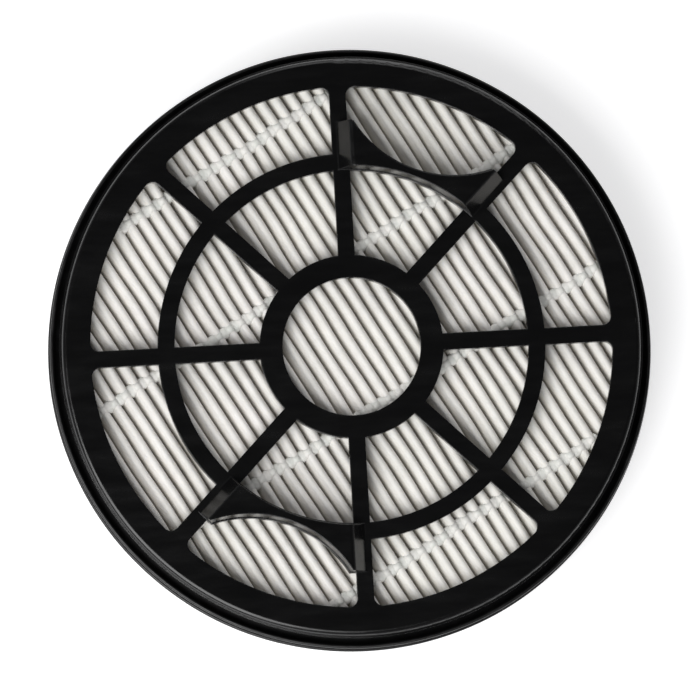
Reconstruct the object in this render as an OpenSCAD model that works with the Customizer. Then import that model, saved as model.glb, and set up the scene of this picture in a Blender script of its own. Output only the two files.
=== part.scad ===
// Round pleated cartridge filter for a vacuum cleaner.
// The origin is at the centre of the rear rim, and +Z runs out through the front grille.

/* [Front ring and barrel] */
// Radius of the front ring at its outer ledge
ring_r = 64.1; // [60:0.1:70]
// Width of the front ring, from the windows to its outer edge
ring_w = 6.7; // [5.5:0.1:7.6]
// Thickness of the front plate that holds the ring and the grille
plate_t = 2.4; // [1.8:0.1:3.2]
// Radius of the rounded shoulder round the front face
shoulder_r = 1.15; // [0.6:0.05:1.4]
// Width of the thin ledge at the foot of the shoulder
ledge_w = 0.4; // [0.2:0.05:0.6]
// Height of the front face above the rear rim
body_h = 26; // [24:0.5:34]
// How far the front ring stands out past the barrel
ring_overhang = 2.1; // [1.6:0.1:2.6]
// Thickness of the barrel wall
barrel_wall = 1.8; // [1.4:0.1:2.2]
// Lead-in chamfer at the rear rim
rim_chamfer = 0.8; // [0.3:0.1:1.1]

/* [Grille] */
// Inner radius of the hub ring
hub_r = 15.2; // [12:0.1:18]
// Width of the hub ring
hub_w = 5; // [3:0.1:7]
// Inner radius of the middle ring
mid_r = 38.9; // [36:0.1:40]
// Width of the middle ring
mid_w = 3.7; // [3:0.1:4.6]
// Number of spokes
spoke_count = 8; // [8:8:8]
// Width of a spoke
spoke_w = 3.65; // [2.6:0.05:4.6]
// Radius in the outer corners of the outer windows
corner_r = 1.9; // [1:0.1:2.6]

/* [Finger grips] */
// Height of a finger grip above the front face
grip_h = 4.5; // [3:0.1:6]
// Distance from the centre to the outer end of a grip, along its spoke
grip_reach = 49.8; // [48:0.1:51]
// Least width of a grip, at the middle of its finger hollow
grip_waist = 2.8; // [2.4:0.1:3.6]
// Radius of the finger hollow
hollow_r = 26; // [24:0.5:32]
// How far the foot of an end runs past the centre line of its spoke
grip_foot = 0.65; // [0.2:0.05:1.2]
// How far an end slopes back from its foot to the top
grip_slope = 2.9; // [1.5:0.1:3.6]
// Radius between a sloping end and the top
grip_round = 1.2; // [0.4:0.1:1.8]
// How far each long side leans in over the height of the grip
grip_draft = 0.45; // [0.1:0.05:0.6]
// Step between the edge of the grille and the grip that stands on it
grip_inset = 0.2; // [0.15:0.05:0.4]

/* [Rim seal] */
// Thickness of the rubber sleeve round the barrel
sleeve_t = 1.3; // [0.9:0.1:1.5]
// Height of the rubber sleeve
sleeve_h = 11.8; // [11.4:0.2:14]
// Thickness of a sealing lip
lip_t = 0.9; // [0.6:0.1:1.1]
// How far the front lip stands out past the front ring
front_lip_proud = 2.1; // [1.4:0.1:3]
// How far the rear lip stands out past the front ring
rear_lip_proud = 2.4; // [1.4:0.1:3.2]
// Depth of the front lip's edge below the front face
front_lip_depth = 5.8; // [5.4:0.1:6.2]
// Distance from the front lip to the rear lip
lip_pitch = 5.2; // [4.8:0.1:5.4]
// Height of the rib that holds the sleeve on the barrel
rib_h = 1.4; // [1:0.1:2.4]
// How far the rib stands out past the sleeve
rib_proud = 0.4; // [0.1:0.1:0.6]

/* [Pleated media] */
// Distance from one pleat to the next
pleat_pitch = 3; // [2.8:0.1:4]
// Thickness of the filter sheet
sheet_t = 0.5; // [0.4:0.05:0.6]
// Gap between the front folds and the underside of the grille
front_gap = 0.8; // [0.5:0.1:1.2]
// Distance from the rear rim up to the rear folds
rear_gap = 2; // [1:0.5:4]
// Width of the adhesive between the pleat ends and the barrel
adhesive_w = 1; // [0.6:0.1:1.6]
// Angle from the first spoke to the direction across the pleats
media_turn = 29.5; // [0:0.5:90]
// Offset of the pleat nearest the centre, across the pleats
pleat_shift = 0.77; // [-1.5:0.01:1.5]

/* [Glue beads] */
// Number of glue beads across each side of the media
bead_count = 4; // [4:4:4]
// Distance between glue beads
bead_spacing = 31.8; // [26:0.1:33]
// Offset of the row of beads along the pleats
bead_shift = 1.9; // [-4:0.1:4]
// Width of a glue bead
bead_w = 2.6; // [1.5:0.1:4]
// Depth to which a bead fills the pleats
bead_depth = 2.4; // [1.5:0.1:4]
// Thickness of a bead over the folds
bead_film = 0.3; // [0.2:0.05:0.4]

/* [Hidden] */

// Facets of full circles, and of the small folds of the sheet
$fn = 144;
FOLD_FN = 32;
// Flats that round the top of a grip's end
ROUND_STEPS = 8;
// Length that a cut runs past the face it cuts
PAST = 1;

// Front ring, windows and barrel
window_r = ring_r - ring_w;
barrel_r = ring_r - ring_overhang;
bore_r = barrel_r - barrel_wall;
plate_z = body_h - plate_t;
spoke_step = 360 / spoke_count;

// Grips: each stands between the second and the third spoke of its half
grip_turn = 1.5 * spoke_step;
hollow_centre = mid_r + grip_waist + hollow_r;
slope_angle = atan2(grip_h, grip_slope);
grip_root = plate_t / 2;

// Seal groove and sleeve
sleeve_top = plate_z;
sleeve_z = sleeve_top - sleeve_h;
sleeve_r = barrel_r + sleeve_t;
rib_z = sleeve_z - rib_h;
front_lip_z = body_h - front_lip_depth;

// Media: the sheet's centre lines stand a quarter of a pitch from the middle of each fold
fold_out = pleat_pitch / 4 + sheet_t / 2;
fold_in = pleat_pitch / 4 - sheet_t / 2;
media_r = bore_r - adhesive_w;
pleat_top = plate_z - front_gap;
pleat_bottom = rear_gap;
pleat_half = ceil(media_r / pleat_pitch) + 1;

// Section of the front ring: flat face, rounded shoulder and thin ledge
module ring_section() {
    shoulder_x = ring_r - ledge_w - shoulder_r;
    translate([window_r, plate_z])
        square([shoulder_x - window_r, plate_t]);
    translate([shoulder_x, body_h - shoulder_r])
        circle(shoulder_r);
    translate([window_r, plate_z])
        square([ring_w, plate_t - shoulder_r]);
}

// Section of the barrel, with its chamfered rear rim and the rib under the seal
module barrel_section() {
    polygon([
        [bore_r, plate_z + plate_t / 2],
        [bore_r, 0],
        [barrel_r - rim_chamfer, 0],
        [barrel_r, rim_chamfer],
        [barrel_r, plate_z + plate_t / 2]
    ]);
    translate([bore_r, rib_z])
        square([sleeve_r + rib_proud - bore_r, rib_h]);
}

// Outline of a flat ring of the grille
module ring_outline(inner, width) {
    difference() {
        circle(inner + width);
        circle(inner);
    }
}

// Web that rounds the corner between one side of a spoke and the front ring
module corner_web() {
    side = spoke_w / 2;
    centre_y = side + corner_r;
    centre_x = sqrt(pow(window_r - corner_r, 2) - pow(centre_y, 2));
    reach = (window_r + PAST) / (window_r - corner_r);
    difference() {
        polygon([
            [centre_x, centre_y],
            [centre_x, side - side / 4],
            [window_r + PAST, side - side / 4],
            [centre_x * reach, centre_y * reach]
        ]);
        translate([centre_x, centre_y])
            circle(corner_r);
    }
}

module spoke_outline() {
    from = hub_r + hub_w / 2;
    translate([from, -spoke_w / 2])
        square([window_r + PAST - from, spoke_w]);
    corner_web();
    mirror([0, 1])
        corner_web();
}

// Places a shape at each of the two grips, with X out through the middle of the grip
module at_grips() {
    for (side = [0, 180])
        rotate(grip_turn + side)
            children();
}

// Strip along a spoke, as far out as the grip reaches, that takes in one half of a grip's foot
module grip_end_outline() {
    from = mid_r / 3;
    translate([from, -grip_foot])
        square([grip_reach - from, 2 * mid_r]);
}

// Outline of the middle ring with the feet of its two grips, all hollowed for a finger
module middle_outline() {
    difference() {
        union() {
            circle(mid_r + mid_w);
            at_grips()
                intersection() {
                    rotate(-spoke_step / 2)
                        grip_end_outline();
                    mirror([0, 1])
                        rotate(-spoke_step / 2)
                            grip_end_outline();
                }
        }
        circle(mid_r);
        at_grips()
            translate([hollow_centre, 0])
                circle(hollow_r);
    }
}

// Flat grille: hub ring, middle ring, feet of the grips and spokes
module grille() {
    translate([0, 0, plate_z])
        linear_extrude(plate_t) {
            ring_outline(hub_r, hub_w);
            middle_outline();
            for (i = [0 : spoke_count - 1])
                rotate(i * spoke_step)
                    spoke_outline();
        }
}

// Sloping end of a grip, seen along its spoke, with X towards the middle of the grip
module grip_end_section() {
    past_end = 2 * mid_r;
    centre_z = grip_h - grip_round;
    centre_x = grip_slope * centre_z / grip_h - grip_foot + grip_round / sin(slope_angle);
    polygon(concat(
        [[past_end, -grip_root], [-grip_foot, -grip_root], [-grip_foot, 0]],
        [for (i = [0 : ROUND_STEPS])
            let (a = 90 + slope_angle * (1 - i / ROUND_STEPS))
                [centre_x + grip_round * cos(a), centre_z + grip_round * sin(a)]],
        [[past_end, grip_h]]
    ));
}

// Bar with one sloping end, laid along a spoke
module grip_end_bar() {
    from = mid_r / 3;
    translate([from, 0, 0])
        rotate([90, 0, 90])
            linear_extrude(grip_reach - grip_inset - from)
                grip_end_section();
}

// Cutter for one long side of a grip: it leans out, and has radius r at the front face
module side_cutter(r) {
    lean = grip_draft / grip_h;
    top = grip_h + PAST;
    bottom = grip_root + PAST;
    translate([0, 0, -bottom])
        cylinder(r1 = r - lean * bottom, r2 = r + lean * top, h = bottom + top);
}

// Curved finger grip above its foot, rooted in the plate
module finger_grip() {
    difference() {
        intersection() {
            rotate([0, 0, -spoke_step / 2])
                grip_end_bar();
            mirror([0, 1, 0])
                rotate([0, 0, -spoke_step / 2])
                    grip_end_bar();
        }
        side_cutter(mid_r + grip_inset);
        translate([hollow_centre, 0, 0])
            side_cutter(hollow_r + grip_inset);
    }
}

// One moulding: front ring, grille, finger grips and barrel
module frame() {
    color([0.05, 0.05, 0.055])
        union() {
            rotate_extrude() {
                ring_section();
                barrel_section();
            }
            grille();
            translate([0, 0, body_h])
                at_grips()
                    finger_grip();
        }
}

// Sealing lip: a curl that leaves the sleeve outward and turns up to a rounded edge
module lip_section(edge_z, proud) {
    curl_r = ring_r + proud - lip_t / 2 - sleeve_r;
    translate([sleeve_r, edge_z]) {
        translate([curl_r, 0])
            circle(lip_t / 2, $fn = FOLD_FN);
        intersection() {
            difference() {
                circle(curl_r + lip_t / 2);
                circle(curl_r - lip_t / 2);
            }
            translate([-sleeve_t / 2, -curl_r - lip_t])
                square([curl_r + lip_t + sleeve_t / 2, curl_r + lip_t]);
        }
    }
}

// Rubber seal stretched over the barrel, between the front ring and the rib
module rim_seal() {
    color([0.08, 0.08, 0.08])
        rotate_extrude() {
            translate([barrel_r, sleeve_z])
                square([sleeve_t, sleeve_h]);
            lip_section(front_lip_z, front_lip_proud);
            lip_section(front_lip_z - lip_pitch, rear_lip_proud);
        }
}

// Half of a fold, open downward: the sheet's bend and one half of its straight wall
module fold_section(edge_z, other_z) {
    height = (edge_z - other_z) / 2;
    translate([0, edge_z - fold_out])
        difference() {
            circle(fold_out, $fn = FOLD_FN);
            circle(fold_in, $fn = FOLD_FN);
            translate([-pleat_pitch, -2 * pleat_pitch])
                square([2 * pleat_pitch, 2 * pleat_pitch]);
        }
    for (wall = [-1, 1])
        translate([wall * pleat_pitch / 4 - sheet_t / 2, edge_z - height])
            square([sheet_t, height - fold_out]);
}

// Section of the folded sheet
module sheet_section() {
    for (i = [-pleat_half : pleat_half])
        translate([pleat_shift + i * pleat_pitch, 0]) {
            fold_section(pleat_top, pleat_bottom);
            translate([pleat_pitch / 2, pleat_top + pleat_bottom])
                mirror([0, 1])
                    fold_section(pleat_top, pleat_bottom);
        }
}

// Stands a section up across the pleats and runs it along them, centred on y
module along_pleats(y, length) {
    rotate([0, 0, media_turn])
        translate([0, y + length / 2, 0])
            rotate([90, 0, 0])
                linear_extrude(length)
                    children();
}

// Folded filter sheet, trimmed round
module pleated_media() {
    color([0.87, 0.86, 0.82])
        intersection() {
            along_pleats(0, 2 * media_r + 2 * PAST)
                sheet_section();
            cylinder(r = media_r, h = body_h);
        }
}

// Adhesive that seals the trimmed sheet into the barrel
module edge_adhesive() {
    color([0.8, 0.79, 0.72])
        translate([0, 0, pleat_bottom])
            difference() {
                cylinder(r = bore_r, h = plate_z - pleat_bottom);
                translate([0, 0, -PAST])
                    cylinder(r = media_r, h = plate_z - pleat_bottom + 2 * PAST);
            }
}

// Place of a bead along the pleats
function bead_y(i) = bead_shift + (i - (bead_count + 1) / 2) * bead_spacing;

// Half the length of a bead that ends inside the trimmed edge of the media
function bead_half(i) = sqrt(pow(media_r, 2) - pow(abs(bead_y(i)) + bead_w / 2, 2));

// Section of a glue bead on the front folds: a flat band less the folds that it covers
module bead_section(half) {
    difference() {
        translate([-half, pleat_top - bead_depth])
            square([2 * half, bead_depth + bead_film]);
        for (i = [-pleat_half : pleat_half])
            translate([pleat_shift + i * pleat_pitch, pleat_top - fold_out]) {
                circle(fold_out, $fn = FOLD_FN);
                translate([-fold_out, -bead_depth])
                    square([2 * fold_out, bead_depth]);
            }
    }
}

module front_bead(i) {
    color([0.85, 0.86, 0.8])
        along_pleats(bead_y(i), bead_w)
            bead_section(bead_half(i));
}

// Bead on the rear folds, which lie half a pitch across from the front ones
module rear_bead(i) {
    color([0.85, 0.86, 0.8])
        along_pleats(bead_y(i), bead_w)
            translate([pleat_pitch / 2, pleat_top + pleat_bottom])
                mirror([0, 1])
                    bead_section(bead_half(i) - pleat_pitch / 2);
}

frame();
rim_seal();
pleated_media();
edge_adhesive();
front_bead(1);  // front_bead_1
front_bead(2);  // front_bead_2
front_bead(3);  // front_bead_3
front_bead(4);  // front_bead_4
rear_bead(1);  // rear_bead_1
rear_bead(2);  // rear_bead_2
rear_bead(3);  // rear_bead_3
rear_bead(4);  // rear_bead_4
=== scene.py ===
"""Round pleated filter cartridge: the dressed model, its studio and the camera.

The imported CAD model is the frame. The moulded frame and the edge adhesive are the CAD's own
meshes with a better finish. The seal, the folded sheet and the glue beads are new meshes,
worked out with numpy on the same sizes. All lengths in the classes are in millimetres.
"""
import logging
import math
from dataclasses import dataclass, field
from enum import Enum
from typing import Any

import bpy
import numpy as np
from mathutils import Matrix, Vector


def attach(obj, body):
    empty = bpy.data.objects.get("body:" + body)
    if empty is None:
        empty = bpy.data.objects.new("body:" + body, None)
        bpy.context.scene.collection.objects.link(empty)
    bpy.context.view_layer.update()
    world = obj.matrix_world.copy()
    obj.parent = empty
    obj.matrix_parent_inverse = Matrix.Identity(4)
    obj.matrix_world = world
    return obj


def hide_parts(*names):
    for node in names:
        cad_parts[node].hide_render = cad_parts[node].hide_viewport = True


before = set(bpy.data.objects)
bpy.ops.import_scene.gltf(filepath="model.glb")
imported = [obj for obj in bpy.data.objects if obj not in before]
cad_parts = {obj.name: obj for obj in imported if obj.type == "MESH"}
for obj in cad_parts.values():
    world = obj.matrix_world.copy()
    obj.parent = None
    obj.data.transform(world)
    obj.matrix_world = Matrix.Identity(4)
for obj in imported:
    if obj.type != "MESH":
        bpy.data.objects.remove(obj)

MM = 0.001
LOG = logging.getLogger("filter")
Grid = np.ndarray
Colour = tuple[float, float, float]


class Side(Enum):
    """Which side of the folded sheet a form lies on."""

    FRONT = 1
    REAR = -1


# --------------------------------------------------------------------------- node graphs


class Graph:
    """A short way to write a node tree: each call adds a node, sets its values and links it."""

    def __init__(self, tree: bpy.types.NodeTree) -> None:
        """Starts with an empty tree.

        Args:
            tree: The node tree of a material or of the world.
        """
        self.tree = tree
        self.tree.nodes.clear()

    def add(self, kind: str, inputs: dict[Any, Any] | None = None, **props: Any) -> bpy.types.Node:
        """Adds one node.

        Args:
            kind: The node's type name without the leading ShaderNode.
            inputs: Socket name or number to a value, or to an output socket to link from.
            **props: Properties of the node itself.

        Returns:
            The new node.
        """
        node = self.tree.nodes.new("ShaderNode" + kind)
        for name, value in props.items():
            setattr(node, name, value)
        for key, value in (inputs or {}).items():
            socket = node.inputs[key]
            if isinstance(value, bpy.types.NodeSocket):
                self.tree.links.new(value, socket)
            else:
                socket.default_value = value
        return node

    def noise(self, coords: bpy.types.NodeSocket, scale: float, detail: float = 3.0,
              roughness: float = 0.55) -> bpy.types.NodeSocket:
        """Adds a noise pattern and returns its value, about 0.5 on average."""
        node = self.add("TexNoise", {"Vector": coords, "Scale": scale, "Detail": detail,
                                     "Roughness": roughness})
        return node.outputs["Fac"]

    def ramp(self, value: bpy.types.NodeSocket, low: float, high: float, to_low: float = 0.0,
             to_high: float = 1.0) -> bpy.types.NodeSocket:
        """Maps low..high to to_low..to_high, held at the ends, and returns the value."""
        node = self.add("MapRange", {"Value": value, "From Min": low, "From Max": high,
                                     "To Min": to_low, "To Max": to_high})
        return node.outputs["Result"]

    def math(self, operation: str, a: Any, b: Any = 0.0) -> bpy.types.NodeSocket:
        """Adds a sum, product or other operation on two values and returns the result."""
        return self.add("Math", {0: a, 1: b}, operation=operation).outputs[0]

    def mix(self, factor: Any, a: Any, b: Any) -> bpy.types.NodeSocket:
        """Mixes colour a towards colour b by a factor and returns the colour."""
        node = self.add("Mix", data_type="RGBA")
        for socket, value in ((node.inputs[0], factor), (node.inputs[6], a), (node.inputs[7], b)):
            if isinstance(value, bpy.types.NodeSocket):
                self.tree.links.new(value, socket)
            elif isinstance(value, tuple):
                socket.default_value = (*value, 1.0)
            else:
                socket.default_value = value
        return node.outputs[2]

    def stretched(self, coords: bpy.types.NodeSocket, turn: float, scale: Colour
                  ) -> bpy.types.NodeSocket:
        """Turns the pattern space about Z by degrees, scales it, and returns its coordinates."""
        node = self.add("Mapping", {"Vector": coords, "Rotation": (0.0, 0.0, math.radians(turn)),
                                    "Scale": scale})
        return node.outputs["Vector"]


# --------------------------------------------------------------------------- finishes


@dataclass(frozen=True)
class GlossPlastic:
    """Glossy injection-moulded plastic: faint orange peel, soft edges, rubbed where edges stand out."""

    name: str = "frame_plastic"
    colour: Colour = (0.0022, 0.0022, 0.0023)
    rubbed: Colour = (0.011, 0.011, 0.0112)
    gloss: float = 0.16
    dull: float = 0.26
    edge_mm: float = 0.32
    peel_per_m: float = 420.0
    grain_per_m: float = 5200.0

    def build(self) -> bpy.types.Material:
        """Makes the material.

        Returns:
            The material, on Object coordinates.
        """
        material, graph, coords = new_material(self.name)
        soft = graph.add("Bevel", {"Radius": self.edge_mm * MM}, samples=6).outputs["Normal"]
        true = graph.add("NewGeometry").outputs["Normal"]
        dot = graph.add("VectorMath", {0: soft, 1: true}, operation="DOT_PRODUCT").outputs["Value"]
        edge = graph.ramp(dot, 0.995, 0.86)
        patches = graph.noise(coords, 160.0, 4.0)
        wear = graph.math("MULTIPLY", edge, graph.ramp(patches, 0.42, 0.62, 0.15, 1.0))
        colour = graph.mix(wear, self.colour, self.rubbed)
        peel = graph.noise(coords, self.peel_per_m, 1.0)
        grain = graph.noise(coords, self.grain_per_m, 2.0)
        smear = graph.noise(graph.stretched(coords, 25.0, (1.0, 5.0, 1.0)), 60.0, 4.0)
        rough = graph.ramp(smear, 0.35, 0.68, self.gloss, self.dull)
        rough = graph.math("ADD", rough, graph.ramp(grain, 0.3, 0.7, -0.02, 0.03))
        bumped = graph.add("Bump", {"Height": grain, "Distance": 0.004 * MM, "Strength": 0.6,
                                    "Normal": soft}).outputs["Normal"]
        bumped = graph.add("Bump", {"Height": peel, "Distance": 0.03 * MM, "Strength": 0.5,
                                    "Normal": bumped}).outputs["Normal"]
        graph.surface({"Base Color": colour, "Roughness": rough, "Normal": bumped, "IOR": 1.5})
        return material


@dataclass(frozen=True)
class SealRubber:
    """Black moulded rubber: half dull, finely grained, with a little dust in random patches."""

    name: str = "seal_rubber"
    colour: Colour = (0.0028, 0.0028, 0.003)
    dusty: Colour = (0.009, 0.009, 0.0092)
    grain_per_m: float = 3800.0

    def build(self) -> bpy.types.Material:
        """Makes the material.

        Returns:
            The material, on Object coordinates.
        """
        material, graph, coords = new_material(self.name)
        dust = graph.noise(coords, 220.0, 5.0)
        fine = graph.noise(coords, self.grain_per_m, 3.0)
        colour = graph.mix(graph.ramp(dust, 0.52, 0.75, 0.0, 0.6), self.colour, self.dusty)
        rough = graph.ramp(dust, 0.35, 0.7, 0.3, 0.5)
        bumped = graph.add("Bump", {"Height": fine, "Distance": 0.012 * MM, "Strength": 0.6})
        graph.surface({"Base Color": colour, "Roughness": rough, "IOR": 1.5,
                       "Normal": bumped.outputs["Normal"]})
        return material


@dataclass(frozen=True)
class FilterSheet:
    """Non-woven filter sheet: matted fibres, cloudy in thickness, with painted shade down in the folds.
    """

    name: str = "filter_media"
    pale: Colour = (0.80, 0.775, 0.745)
    cloudy: Colour = (0.70, 0.68, 0.65)
    # Colour of the painted shade deep in the folds.
    painted_fold_shade: Colour = (0.50, 0.465, 0.40)
    fibre_per_m: float = 2600.0
    turn_deg: float = 29.5
    top_mm: float = 22.6
    bottom_mm: float = 2.2

    def build(self) -> bpy.types.Material:
        """Makes the material.

        Returns:
            The material, on Object coordinates.
        """
        material, graph, coords = new_material(self.name)
        cloud = graph.noise(coords, 170.0, 5.0, 0.6)
        tint = graph.noise(coords, 26.0, 2.0)
        one_way = graph.noise(graph.stretched(coords, -self.turn_deg, (1.0, 0.22, 1.0)),
                              self.fibre_per_m, 4.0, 0.65)
        other_way = graph.noise(graph.stretched(coords, 38.0, (0.25, 1.0, 1.0)),
                                self.fibre_per_m, 4.0, 0.65)
        fuzz = graph.math("MAXIMUM", one_way, other_way)
        height = graph.add("SeparateXYZ", {0: coords}).outputs["Z"]
        middle = (self.top_mm + self.bottom_mm) / 2 * MM
        from_middle = graph.math("ABSOLUTE", graph.math("SUBTRACT", height, middle))
        reach = (self.top_mm - self.bottom_mm) / 2 * MM
        depth = graph.math("SUBTRACT", reach, from_middle)
        colour = graph.mix(graph.ramp(cloud, 0.38, 0.66), self.pale, self.cloudy)
        colour = graph.mix(graph.ramp(tint, 0.35, 0.65, 0.0, 0.35), colour, (0.77, 0.77, 0.70))
        colour = graph.mix(graph.ramp(fuzz, 0.5, 0.72, 0.0, 0.22), colour, (0.93, 0.92, 0.90))
        # Painted shade: the colour turns darker and browner the deeper the point lies in the folds.
        colour = graph.mix(graph.ramp(depth, 0.7 * MM, 4.0 * MM), colour, self.painted_fold_shade)
        mat = graph.add("Bump", {"Height": fuzz, "Distance": 0.09 * MM, "Strength": 0.75})
        lump = graph.add("Bump", {"Height": cloud, "Distance": 0.25 * MM, "Strength": 0.5,
                                  "Normal": mat.outputs["Normal"]})
        graph.surface({"Base Color": colour, "Roughness": 0.9, "Specular IOR Level": 0.15,
                       "Subsurface Weight": 0.25, "Subsurface Radius": (1.0, 0.95, 0.85),
                       "Subsurface Scale": 0.5 * MM, "Sheen Weight": 0.12,
                       "Normal": lump.outputs["Normal"]})
        return material


@dataclass(frozen=True)
class HotMelt:
    """Set hot-melt glue: milky, smooth and slightly wavy."""

    name: str = "bead_glue"
    colour: Colour = (0.66, 0.67, 0.63)
    thin: Colour = (0.74, 0.725, 0.69)
    roughness: float = 0.38

    def build(self) -> bpy.types.Material:
        """Makes the material.

        Returns:
            The material, on Object coordinates.
        """
        material, graph, coords = new_material(self.name)
        cloud = graph.noise(coords, 420.0, 4.0, 0.6)
        ripple = graph.noise(coords, 1300.0, 3.0)
        colour = graph.mix(graph.ramp(cloud, 0.36, 0.64), self.colour, self.thin)
        rough = graph.ramp(ripple, 0.3, 0.7, self.roughness - 0.08, self.roughness + 0.12)
        bumped = graph.add("Bump", {"Height": ripple, "Distance": 0.16 * MM, "Strength": 0.7})
        graph.surface({"Base Color": colour, "Roughness": rough, "IOR": 1.48,
                       "Subsurface Weight": 0.35, "Subsurface Radius": (1.0, 1.0, 0.95),
                       "Subsurface Scale": 0.8 * MM, "Normal": bumped.outputs["Normal"]})
        return material


@dataclass(frozen=True)
class PottingAdhesive:
    """Dull cast adhesive at the edge of the sheet: off-white, with small pits."""

    name: str = "edge_glue"
    colour: Colour = (0.62, 0.60, 0.52)
    stained: Colour = (0.48, 0.45, 0.37)

    def build(self) -> bpy.types.Material:
        """Makes the material.

        Returns:
            The material, on Object coordinates.
        """
        material, graph, coords = new_material(self.name)
        cloud = graph.noise(coords, 240.0, 5.0, 0.6)
        pits = graph.add("TexVoronoi", {"Vector": coords, "Scale": 900.0}).outputs["Distance"]
        colour = graph.mix(graph.ramp(cloud, 0.4, 0.68), self.colour, self.stained)
        bumped = graph.add("Bump", {"Height": graph.ramp(pits, 0.0, 0.3), "Strength": 0.5,
                                    "Distance": 0.08 * MM})
        graph.surface({"Base Color": colour, "Roughness": graph.ramp(cloud, 0.3, 0.7, 0.5, 0.75),
                       "Normal": bumped.outputs["Normal"]})
        return material


class MaterialGraph(Graph):
    """The node tree of one material, which ends in one Principled surface."""

    def surface(self, inputs: dict[str, Any]) -> None:
        """Closes the tree with a Principled surface of the given inputs."""
        shader = self.add("BsdfPrincipled", inputs)
        self.add("OutputMaterial", {"Surface": shader.outputs["BSDF"]})


def new_material(name: str) -> tuple[bpy.types.Material, MaterialGraph, bpy.types.NodeSocket]:
    """Makes an empty node material.

    Args:
        name: The finish's name.

    Returns:
        The material, its graph, and the Object coordinates to draw patterns on.
    """
    material = bpy.data.materials.new(name)
    material.use_nodes = True
    graph = MaterialGraph(material.node_tree)
    coords = graph.add("TexCoord").outputs["Object"]
    return material, graph, coords


# --------------------------------------------------------------------------- surfaces


def grid_faces(rows: int, columns: int, wrap_rows: bool, wrap_columns: bool) -> Grid:
    """Quads between neighbouring points of a grid that is stored row by row.

    Args:
        rows: Number of rows of points.
        columns: Number of points in a row.
        wrap_rows: Whether the last row joins the first.
        wrap_columns: Whether each row is a closed loop.

    Returns:
        An array of quads, each four point numbers.
    """
    i = np.arange(rows if wrap_rows else rows - 1)[:, None]
    j = np.arange(columns if wrap_columns else columns - 1)[None, :]
    i2, j2 = (i + 1) % rows, (j + 1) % columns
    quads = np.stack([i * columns + j, i * columns + j2, i2 * columns + j2, i2 * columns + j], -1)
    return quads.reshape(-1, 4)


def mesh_object(name: str, points: Grid, quads: Grid, caps: tuple[Grid, ...] = ()
                ) -> bpy.types.Object:
    """Puts points and faces into a smooth mesh object at the origin.

    Args:
        name: The piece's name.
        points: Points in millimetres, one per row.
        quads: Quads as point numbers.
        caps: Loops of point numbers that close open ends.

    Returns:
        The new object, linked to the scene.
    """
    mesh = bpy.data.meshes.new(name)
    faces = quads.tolist() + [cap.tolist() for cap in caps]
    mesh.from_pydata((points * MM).tolist(), [], faces)
    mesh.polygons.foreach_set("use_smooth", np.ones(len(mesh.polygons), bool))
    mesh.update()
    obj = bpy.data.objects.new(name, mesh)
    bpy.context.scene.collection.objects.link(obj)
    return obj


def signed_volume(points: Grid, quads: Grid) -> float:
    """Volume inside a closed surface of quads: above 0 where the faces point outwards."""
    a, b, c, d = (points[quads[:, k]] for k in range(4))
    one = np.einsum("ij,ij->i", a, np.cross(b, c))
    two = np.einsum("ij,ij->i", a, np.cross(c, d))
    return float((one + two).sum() / 6)


def finish_piece(obj: bpy.types.Object, finish: bpy.types.Material, slot: str, *nodes: str) -> None:
    """Dresses a new piece, puts it on the body and says which CAD nodes it stands for.

    Args:
        obj: The new piece.
        finish: Its material.
        slot: The record's material slot. Not used.
        *nodes: The CAD nodes that it replaces.
    """
    obj.data.materials.append(finish)
    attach(obj, "root")
    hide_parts(*nodes)
    LOG.info("%s: %d faces, stands for %s", obj.name, len(obj.data.polygons), ", ".join(nodes))


# --------------------------------------------------------------------------- folded sheet


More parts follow.
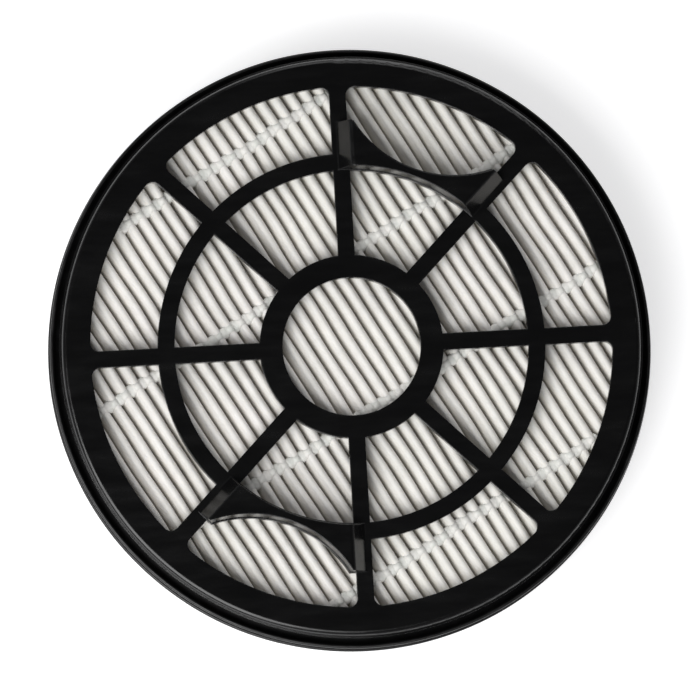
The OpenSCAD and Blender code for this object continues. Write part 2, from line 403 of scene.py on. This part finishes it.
@dataclass
class FoldedSheet:
    """The folded filter sheet, with the small unevenness of real folds.

    Across the pleats runs s and along them runs y, turned from the frame's X and Y by turn_deg.
    """

    pitch: float = 3.0
    shift: float = 0.77
    turn_deg: float = 29.5
    radius: float = 59.15
    top: float = 22.8
    bottom: float = 2.0
    thickness: float = 0.5
    fold_r: float = 0.88
    crown_w: float = 0.62
    crown_h: float = 0.42
    touch_depth: float = 3.3
    first: int = -20
    count: int = 40
    along: int = 44
    sway: float = 0.16
    dip: float = 0.3
    seed: int = 11
    waves: Grid = field(init=False)
    own: Grid = field(init=False)

    def __post_init__(self) -> None:
        """Draws the waves that bend all folds together, and those of each fold alone."""
        rng = np.random.default_rng(self.seed)
        self.waves = rng.uniform(0.0, 1.0, (14, 4))
        self.own = rng.uniform(0.0, 2 * math.pi, (2 * self.count + 4, 3))

    def uneven(self, s: Grid, y: Grid, which: int) -> Grid:
        """Smooth unevenness from about -1 to 1: a mean of sine waves over the plane.

        value = sum of sin(kx s + ky y + phase) / 3, with waves 12 to 70 mm long.
        """
        total = np.zeros(np.broadcast(s, y).shape)
        for size, heading, phase, extra in self.waves[which::2]:
            k = 2 * math.pi / (12.0 + 58.0 * size)
            total = total + np.sin(k * (math.cos(math.pi * heading) * s + math.sin(math.pi * heading)
                                        * y) + 2 * math.pi * (phase + extra))
        return total / 3.0

    def own_wave(self, index: Grid, y: Grid) -> Grid:
        """Unevenness of one fold alone, from about -1 to 1: two sine waves along it."""
        one, two, three = (self.own[index][..., k] for k in range(3))
        return 0.6 * np.sin(y / 7.0 + one) + 0.4 * np.sin(y / 3.1 + two) + 0.3 * np.sin(three)

    def centre(self, half_steps: Grid, y: Grid) -> Grid:
        """Place across the pleats of front folds (even half steps) and rear folds (odd ones).

        s = shift + (first + h / 2) pitch + sway (common wave + own wave / 3)
        """
        s = self.shift + (self.first + half_steps / 2.0) * self.pitch
        bend = self.uneven(s, y, 0) + self.own_wave(half_steps + 2, y) / 3.0
        return s + self.sway * bend

    def fold_z(self, half_steps: Grid, y: Grid, side: Side) -> Grid:
        """Height of a fold's edge: the sheet's top or bottom, less a small uneven dip."""
        s = self.shift + (self.first + half_steps / 2.0) * self.pitch
        low = 0.5 + 0.28 * self.uneven(s, y, 1) + 0.2 * self.own_wave(half_steps + 1, y)
        drop = self.dip * np.clip(low, 0.0, 1.0)
        return self.top - drop if side is Side.FRONT else self.bottom + drop

    def walls(self) -> tuple[Grid, Grid, Grid, Grid]:
        """Middle line of the sheet down one side of a fold, and up to the next fold.

        The steep side is a quarter circle of fold_r and then nearly straight. The other side
        leaves the crown as a quarter ellipse, crown_w by crown_h, and slopes out until it
        meets the steep side of the neighbour at touch_depth. Both are mirrored at the rear.

        Returns:
            Share of half a pitch across and share of the height down, for the steep side and
            then for the sloping side, from a front fold to the rear fold beside it.
        """
        half, t = self.pitch / 2, self.thickness / 2
        height = self.top - self.bottom - self.thickness
        a = np.linspace(0.0, math.pi / 2, 7)
        r = self.fold_r - t
        steep_x = np.concatenate([r * np.sin(a), [r + 0.01]])
        steep_z = np.concatenate([r * (1 - np.cos(a)), [self.touch_depth]])
        b = np.linspace(0.0, math.radians(62.0), 6)
        x, z = (self.crown_w - t * 0.5) * np.sin(b), (self.crown_h + t) * (1 - np.cos(b))
        c = np.linspace(0.0, 1.0, 7)[1:]
        touch_x = self.pitch - self.fold_r - t - 0.03
        slope_x = x[-1] + (touch_x - x[-1]) * (c + 0.25 * np.sin(math.pi * c) / math.pi)
        slope_z = z[-1] + (self.touch_depth - z[-1]) * c
        slope_x = np.concatenate([x, slope_x])
        slope_z = np.concatenate([z, slope_z])
        both_x = np.concatenate([steep_x, (half - steep_x)[::-1]])
        both_z = np.concatenate([steep_z, (height - steep_z)[::-1]])
        lean_x = np.concatenate([slope_x, (half - slope_x)[::-1]])
        lean_z = np.concatenate([slope_z, (height - slope_z)[::-1]])
        return both_x / half, both_z / height, lean_x / half, lean_z / height

    def build(self) -> bpy.types.Object:
        """Folds the sheet and trims it round.

        Returns:
            The closed mesh of the sheet.
        """
        steep_x, steep_z, lean_x, lean_z = self.walls()
        share_x = np.tile(np.concatenate([steep_x[:-1], 1.0 - lean_x[:0:-1]]), self.count)
        share_z = np.tile(np.concatenate([steep_z[:-1], lean_z[:0:-1]]), self.count)
        one = np.concatenate([np.zeros(len(steep_x) - 1, int), np.ones(len(lean_x) - 1, int)])
        here = (2 * np.arange(self.count)[:, None] + one[None, :]).ravel()
        rising = here % 2 == 1
        v = np.linspace(-1.0, 1.0, self.along)[None, :]
        flat_s = self.shift + (self.first + (here + share_x) / 2.0) * self.pitch
        flat_s = np.clip(flat_s, -self.radius, self.radius)
        y = np.sqrt(np.maximum(self.radius**2 - flat_s**2, 0.6))[:, None] * v
        start, end = self.centre(here[:, None], y), self.centre(here[:, None] + 1, y)
        s = start + (end - start) * share_x[:, None]
        front = np.where(rising[:, None], self.fold_z(here[:, None] + 1, y, Side.FRONT),
                         self.fold_z(here[:, None], y, Side.FRONT)) - self.thickness / 2
        rear = np.where(rising[:, None], self.fold_z(here[:, None], y, Side.REAR),
                        self.fold_z(here[:, None] + 1, y, Side.REAR)) + self.thickness / 2
        height = front + (rear - front) * share_z[:, None]
        tangent_s, tangent_z = np.gradient(s, axis=0), np.gradient(height, axis=0)
        length = np.hypot(tangent_s, tangent_z)
        normal_s, normal_z = -tangent_z / length, tangent_s / length
        sides = [(s + k * normal_s * self.thickness / 2, height + k * normal_z * self.thickness / 2)
                 for k in (1.0, -1.0)]
        loop_s = np.concatenate([sides[0][0], sides[1][0][::-1]])
        loop_z = np.concatenate([sides[0][1], sides[1][1][::-1]])
        loop_y = np.concatenate([y, y[::-1]])
        loop_s = np.clip(loop_s, -self.radius, self.radius)
        points = self.placed(loop_s, loop_y, loop_z)
        rows, columns = loop_s.shape
        quads = grid_faces(rows, columns, True, False)
        half = rows // 2
        near = np.arange(half)
        far = rows - 1 - near
        ends = [np.stack([near[:-1] * columns + c, near[1:] * columns + c,
                          far[1:] * columns + c, far[:-1] * columns + c], -1)
                for c in (0, columns - 1)]
        quads = np.concatenate([quads, ends[0][:, ::-1], ends[1]])
        flat = points.reshape(-1, 3)
        if signed_volume(flat, quads) < 0:
            quads = quads[:, ::-1]
        return mesh_object("folded_sheet", flat, quads)

    def placed(self, s: Grid, y: Grid, z: Grid) -> Grid:
        """Turns s, y and z into points of the frame: X and Y are s and y turned by turn_deg."""
        c, n = math.cos(math.radians(self.turn_deg)), math.sin(math.radians(self.turn_deg))
        return np.stack([c * s - n * y, n * s + c * y, z], -1)

    def skin(self, s: Grid, y: Grid, side: Side) -> tuple[Grid, Grid]:
        """The sheet's outer face over a place, as a bead of glue finds it.

        Args:
            s: Places across the pleats.
            y: Places along the pleats.
            side: Front or rear.

        Returns:
            The height of the fold's edge there, and how far the sheet lies below it toward the
            middle of the sheet: a quarter circle on the steep side, a slope on the other.
        """
        odd = 0 if side is Side.FRONT else 1
        lead = self.fold_r if side is Side.FRONT else self.pitch - self.fold_r
        steps = (s + self.pitch - lead - self.shift) / self.pitch - self.first - odd / 2.0
        near = np.clip(2 * np.floor(steps).astype(int) + odd, 0, 2 * self.count)
        x = (s - self.centre(near, y)) * side.value
        steep = self.fold_r * (1.0 - np.sqrt(np.maximum(1.0 - (x / self.fold_r) ** 2, 0.0)))
        out = np.maximum(-x, 0.0)
        crown = self.crown_h * (1.0 - np.sqrt(np.maximum(1.0 - (out / 0.8) ** 2, 0.0)))
        slope = self.crown_h + (out - 0.75) * 2.1
        return self.fold_z(near, y, side), np.where(x > 0, steep, np.where(out > 0.75, slope, crown))


# --------------------------------------------------------------------------- glue beads


@dataclass
class GlueBead:
    """One bead of hot-melt glue laid across the folds, on the front or the rear."""

    sheet: FoldedSheet
    side: Side
    number: int
    count: int = 4
    spacing: float = 31.8
    shift: float = 1.9
    width: float = 2.5
    depth: float = 2.4
    film: float = 0.14
    sag: float = 0.62
    across: int = 22

    def build(self) -> bpy.types.Object:
        """Lays the bead over the folds.

        The top is the sheet's skin plus a film, but it sinks no lower than the sag between two
        folds: z = smooth maximum of both. Across the bead it falls as a rounded arch,
        (1 - |a|^3)^(1/3), and it runs wider between the folds than over them.

        Returns:
            The closed mesh of the bead.
        """
        y0 = self.shift + (self.number - (self.count + 1) / 2.0) * self.spacing
        reach = math.sqrt(self.sheet.radius**2 - (abs(y0) + self.width / 2.0) ** 2) - 0.6
        s = np.linspace(-reach, reach, int(reach * 2 / 0.16))[:, None]
        wander = 0.22 * np.sin(s / 5.3 + self.number) + 0.12 * np.sin(s / 1.9 + 2.0 * self.number)
        angle = np.linspace(0.0, 2 * math.pi, self.across, endpoint=False)[None, :]
        edge, fall = self.sheet.skin(s, np.full_like(s, y0), self.side)
        between = np.clip(fall / 1.4, 0.0, 1.0)
        beat = np.sin(s * 0.83 + 1.7 * self.number) * np.sin(s * 0.37 + self.number)
        half = self.width / 2.0 * (0.93 + 0.2 * between + 0.09 * beat)
        near_end = np.clip((reach - np.abs(s)) / 1.1, 0.0, 1.0)
        half = half * np.sqrt(1.0 - (1.0 - near_end) ** 2 + 1e-4)
        y = y0 + wander + half * np.sign(np.cos(angle)) * np.abs(np.cos(angle)) ** 0.8
        arch = np.sin(angle)
        edge, fall = self.sheet.skin(s, y, self.side)
        sag = self.sag * (1.0 + 0.25 * beat)
        low = 0.5 * (fall + sag) - 0.5 * np.sqrt((fall - sag) ** 2 + 0.02)
        crown = self.film + 0.12 * np.abs(arch)
        top = edge - self.side.value * (low - crown)
        base = edge - self.side.value * self.depth
        lift = np.where(arch > 0, np.abs(arch) ** 0.7, 0.0)
        z = base + (top - base) * np.where(arch > 0, 0.35 + 0.65 * lift, 0.35 * (1 + arch))
        points = self.sheet.placed(s + 0.0 * y, y, z)
        rows, columns = y.shape
        flat = points.reshape(-1, 3)
        quads = grid_faces(rows, columns, False, True)
        caps = (np.arange(columns), (rows - 1) * columns + np.arange(columns))
        outward = signed_volume(flat - flat.mean(0), quads) > 0
        quads = quads if outward else quads[:, ::-1]
        caps = (caps[0][::-1], caps[1]) if outward else (caps[0], caps[1][::-1])
        side = "front" if self.side is Side.FRONT else "rear"
        return mesh_object(f"glue_bead_{side}_{self.number}", flat, quads, caps)


# --------------------------------------------------------------------------- rim seal


@dataclass
class RimSeal:
    """Rubber sleeve with two lips that curl out and up, moulded in one ring."""

    inner_r: float = 62.0
    sleeve_t: float = 1.3
    sleeve_z: float = 11.8
    sleeve_top: float = 23.6
    lip_t: float = 0.9
    lips: tuple[tuple[float, float], ...] = ((15.0, 2.75), (20.2, 2.45))
    fillet: float = 0.25
    around: int = 540

    def profile(self) -> Grid:
        """The ring's section as a closed line of r, z and the share of lip it belongs to.

        Each lip is a quarter circle about the sleeve's face at the height of the lip's edge:
        r = sleeve + R cos(a), z = edge + R sin(a), for a from -90 to 0 degrees, and its edge
        is a half circle.
        """
        face = self.inner_r + self.sleeve_t
        parts = [[(self.inner_r, self.sleeve_z, 0.0), (face - 0.15, self.sleeve_z, 0.0),
                  (face, self.sleeve_z + 0.15, 0.0)]]
        for edge_z, curl in self.lips:
            for radius, start, stop, turn in ((curl + self.lip_t / 2, -90.0, 0.0, 16),
                                              (curl - self.lip_t / 2, 0.0, -90.0, 12)):
                a = np.radians(np.linspace(start, stop, turn))
                share = np.abs(np.linspace(start, stop, turn) + 90.0) / 90.0
                arc = np.stack([face + radius * np.cos(a), edge_z + radius * np.sin(a), share], -1)
                parts.append(arc.tolist())
                if start < -1.0:
                    b = np.radians(np.linspace(0.0, 180.0, 9)[1:-1])
                    tip = np.stack([face + curl + self.lip_t / 2 * np.cos(b),
                                    edge_z + self.lip_t / 2 * np.sin(b), np.ones_like(b)], -1)
                    parts.append(tip.tolist())
        parts.append([(face, self.sleeve_top, 0.0), (self.inner_r, self.sleeve_top, 0.0)])
        return np.array([p for part in parts for p in part])

    def build(self) -> bpy.types.Object:
        """Carries the section round the barrel, with lips that give a little here and there.

        Returns:
            The closed mesh of the seal.
        """
        r, z, lip = (column[None, :] for column in self.profile().T)
        a = np.linspace(0.0, 2 * math.pi, self.around, endpoint=False)[:, None]
        give = 0.5 + 0.22 * np.sin(3 * a + 1.0) + 0.16 * np.sin(7 * a + 0.4) + 0.12 * np.sin(13 * a)
        r = r - 0.12 * lip * lip * np.clip(give, 0.0, 1.0)
        z = z + 0.1 * lip * lip * (give - 0.5)
        points = np.stack([r * np.cos(a), r * np.sin(a), z + 0.0 * a], -1).reshape(-1, 3)
        quads = grid_faces(self.around, r.shape[1], True, True)
        if signed_volume(points, quads) < 0:
            quads = quads[:, ::-1]
        obj = mesh_object("rim_seal_ring", points, quads)
        obj.data.set_sharp_from_angle(angle=math.radians(50))
        return obj


# --------------------------------------------------------------------------- cartridge


@dataclass
class Cartridge:
    """The whole filter: the CAD's own pieces with a finish, and the new ones in their places."""

    sheet: FoldedSheet = field(default_factory=FoldedSheet)
    seal: RimSeal = field(default_factory=RimSeal)
    beads: int = 4

    def dress_node(self, node: str, finish: bpy.types.Material) -> None:
        """Gives a CAD node a finish, without touching its mesh."""
        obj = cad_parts[node]
        obj.data.materials.clear()
        obj.data.materials.append(finish)
        LOG.info("%s: CAD mesh, finish %s", node, finish.name)

    def build(self) -> None:
        """Builds and dresses every piece."""
        self.dress_node("frame", GlossPlastic().build())
        self.dress_node("edge_adhesive", PottingAdhesive().build())
        finish_piece(self.seal.build(), SealRubber().build(), "seal_rubber", "rim_seal")
        finish_piece(self.sheet.build(), FilterSheet().build(), "filter_media", "pleated_media")
        glue = HotMelt().build()
        for side, word in ((Side.FRONT, "front"), (Side.REAR, "rear")):
            for number in range(1, self.beads + 1):
                bead = GlueBead(self.sheet, side, number, self.beads).build()
                finish_piece(bead, glue, "bead_glue", f"{word}_bead_{number}")


# --------------------------------------------------------------------------- studio


@dataclass
class Studio:
    """Pale floor, soft lights and the camera of the photograph."""

    face_z: float = 26.0
    view_mm: float = 153.65
    distance: float = 3000.0
    lean_deg: float = 5.75
    lean_toward_deg: float = 242.0
    roll_deg: float = 3.25
    centre_px: tuple[float, float] = (351.7, 346.3)
    frame_px: float = 700.0

    def floor(self) -> None:
        """A white floor that shows white to the camera and still takes the shadow."""
        size = 3000.0
        corners = np.array([[-1, -1, 0], [1, -1, 0], [1, 1, 0], [-1, 1, 0]], float) * size
        corners[:, 2] = -0.02
        obj = mesh_object("floor", corners, np.array([[0, 1, 2, 3]]))
        material, graph, _ = new_material("floor_white")
        diffuse = graph.add("BsdfDiffuse", {"Color": (0.85, 0.85, 0.85, 1.0)})
        glow = graph.add("Emission", {"Color": (1.0, 1.0, 1.0, 1.0), "Strength": 0.5})
        both = graph.add("AddShader", {0: diffuse.outputs[0], 1: glow.outputs[0]})
        path = graph.add("LightPath")
        seen = graph.math("MAXIMUM", path.outputs["Is Camera Ray"], path.outputs["Is Glossy Ray"])
        seen = graph.math("MAXIMUM", seen, path.outputs["Is Transmission Ray"])
        choice = graph.add("MixShader", {0: seen, 1: diffuse.outputs[0], 2: both.outputs[0]})
        graph.add("OutputMaterial", {"Surface": choice.outputs[0]})
        obj.data.materials.append(material)

    def world(self) -> None:
        """A dim ceiling over a pale horizon, which the camera sees as white."""
        world = bpy.data.worlds.new("studio")
        bpy.context.scene.world = world
        world.use_nodes = True
        graph = Graph(world.node_tree)
        up = graph.add("SeparateXYZ", {0: graph.add("TexCoord").outputs["Generated"]}).outputs["Z"]
        high = graph.ramp(up, 0.3, 0.75)
        light = graph.mix(high, (0.34, 0.34, 0.35), (0.3, 0.3, 0.31))
        shown = graph.mix(high, (1.0, 1.0, 1.0), (0.2, 0.2, 0.2))
        gloss = graph.mix(high, (0.22, 0.22, 0.225), (0.035, 0.035, 0.036))
        path = graph.add("LightPath")
        colour = graph.mix(path.outputs["Is Glossy Ray"], light, gloss)
        colour = graph.mix(path.outputs["Is Camera Ray"], colour, shown)
        ground = graph.add("Background", {"Color": colour, "Strength": 1.0})
        graph.add("OutputWorld", {"Surface": ground.outputs[0]})

    def softbox(self, name: str, azimuth: float, elevation: float, size: float, power: float,
                far: float = 1100.0) -> None:
        """Hangs a square soft light that faces the filter.

        Args:
            name: The light's name.
            azimuth: Direction from the filter, in degrees from the frame's X.
            elevation: Height of that direction above the floor, in degrees.
            size: Side of the square, in millimetres.
            power: Watts.
            far: Distance from the filter, in millimetres.
        """
        data = bpy.data.lights.new(name, "AREA")
        data.shape, data.size, data.energy = "SQUARE", size * MM, power
        obj = bpy.data.objects.new(name, data)
        a, e = math.radians(azimuth), math.radians(elevation)
        away = Vector((math.cos(a) * math.cos(e), math.sin(a) * math.cos(e), math.sin(e)))
        obj.location = away * far * MM + Vector((0.0, 0.0, 0.015))
        obj.rotation_euler = away.to_track_quat("Z", "Y").to_euler()
        bpy.context.scene.collection.objects.link(obj)

    def camera(self) -> None:
        """Places a long lens over the front face, leaned and rolled as in the photograph."""
        lean, toward = math.radians(self.lean_deg), math.radians(self.lean_toward_deg)
        back = Vector((math.sin(lean) * math.cos(toward), math.sin(lean) * math.sin(toward),
                       math.cos(lean)))
        up_angle = math.radians(90.0 - self.roll_deg)
        up = Vector((math.cos(up_angle), math.sin(up_angle), 0.0))
        up = (up - back * up.dot(back)).normalized()
        right = up.cross(back)
        per_px = self.view_mm / self.frame_px
        off = right * (self.frame_px / 2 - self.centre_px[0]) * per_px
        off = off - up * (self.frame_px / 2 - self.centre_px[1]) * per_px
        aim = Vector((0.0, 0.0, self.face_z)) + off
        place = (aim + back * self.distance) * MM
        data = bpy.data.cameras.new("camera")
        data.sensor_width = 36.0
        data.lens = data.sensor_width * self.distance / self.view_mm
        data.clip_start, data.clip_end = 0.1, 30.0
        obj = bpy.data.objects.new("camera", data)
        turn = Matrix((right, up, back)).transposed().to_4x4()
        obj.matrix_world = Matrix.Translation(place) @ turn
        bpy.context.scene.collection.objects.link(obj)
        bpy.context.scene.camera = obj

    def build(self) -> None:
        """Sets up the floor, the lights, the camera and the view transform."""
        self.floor()
        self.world()
        self.softbox("key_light", 226.0, 50.0, 900.0, 13.0)
        self.softbox("fill_light", 80.0, 34.0, 700.0, 2.0)
        self.camera()
        bpy.context.scene.view_settings.view_transform = "Standard"


def corners(bounds: tuple[Vector, Vector]) -> list[list[float]]:
    """A box as plain lists of numbers."""
    return [[round(float(v), 6) for v in corner] for corner in bounds]


def main() -> None:
    logging.basicConfig(level=logging.INFO, format="%(name)s: %(message)s")
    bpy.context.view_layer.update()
    Cartridge().build()
    Studio().build()


if __name__ == "__main__":
    main()
